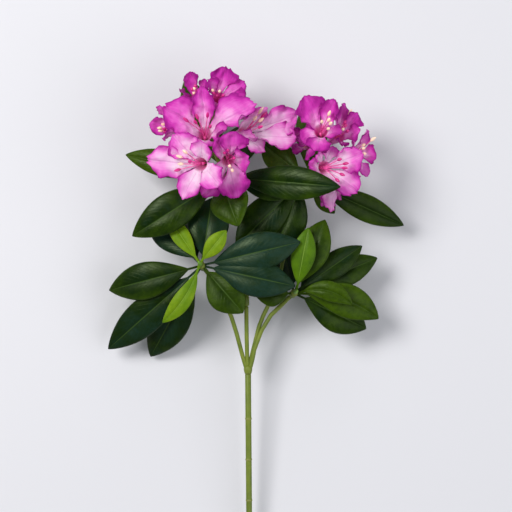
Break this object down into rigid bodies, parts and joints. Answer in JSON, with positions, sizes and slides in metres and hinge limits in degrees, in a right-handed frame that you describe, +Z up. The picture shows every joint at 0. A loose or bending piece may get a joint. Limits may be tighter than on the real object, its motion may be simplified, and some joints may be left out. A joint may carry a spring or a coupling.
{
  "type": "artificial rhododendron spray",
  "caption": "Artificial rhododendron spray lying flat: a forked moulded stem that carries orchid-pink flower heads in collars of leaves, and leafy whorls.",
  "frame": {"origin": "on the surface that the spray lies on, under the middle of its bounding box", "axes": "+Y along the stem from its cut end to the flowers, +Z up from the surface, +X to the right when seen from above"},
  "size_m": [0.2992, 0.6372, 0.1405],
  "materials": {
    "moulded_green": "yellow-green moulded plastic, slightly glossy",
    "steel_wire": "bare steel core wire, seen at the cut end",
    "grown_leaf": "dark green coated leaf with a soft gloss and a lighter midrib",
    "young_leaf": "bright yellow-green coated leaf with a soft gloss",
    "petal_fabric": "thin fabric, white-pink at the throat to orchid at the waved edge",
    "stamen_plastic": "hot pink filaments and anthers, some anthers cream"
  },
  "bodies": {
    "root": {"fork": "moulded_green", "left_collar_leaves": "grown_leaf", "left_floret_1": "petal_fabric", "left_floret_2": "petal_fabric", "left_floret_3": "petal_fabric", "left_floret_4": "petal_fabric", "left_floret_5": "petal_fabric", "left_floret_6": "petal_fabric", "left_floret_7": "petal_fabric", "left_floret_8": "petal_fabric", "left_flower_stalk": "moulded_green", "left_stamens_1": "stamen_plastic", "left_stamens_2": "stamen_plastic", "left_stamens_3": "stamen_plastic", "left_stamens_4": "stamen_plastic", "left_stamens_5": "stamen_plastic", "left_stamens_6": "stamen_plastic", "left_stamens_7": "stamen_plastic", "left_stamens_8": "stamen_plastic", "left_whorl_leaves": "grown_leaf", "left_young_shoot": "young_leaf", "main_stem": "moulded_green", "main_wire": "steel_wire", "right_collar_leaves": "grown_leaf", "right_floret_1": "petal_fabric", "right_floret_2": "petal_fabric", "right_floret_3": "petal_fabric", "right_floret_4": "petal_fabric", "right_floret_5": "petal_fabric", "right_floret_6": "petal_fabric", "right_floret_7": "petal_fabric", "right_flower_stalk": "moulded_green", "right_stamens_1": "stamen_plastic", "right_stamens_2": "stamen_plastic", "right_stamens_3": "stamen_plastic", "right_stamens_4": "stamen_plastic", "right_stamens_5": "stamen_plastic", "right_stamens_6": "stamen_plastic", "right_stamens_7": "stamen_plastic", "right_whorl_leaves": "grown_leaf", "right_young_shoot": "young_leaf"}
  },
  "joints": []
}
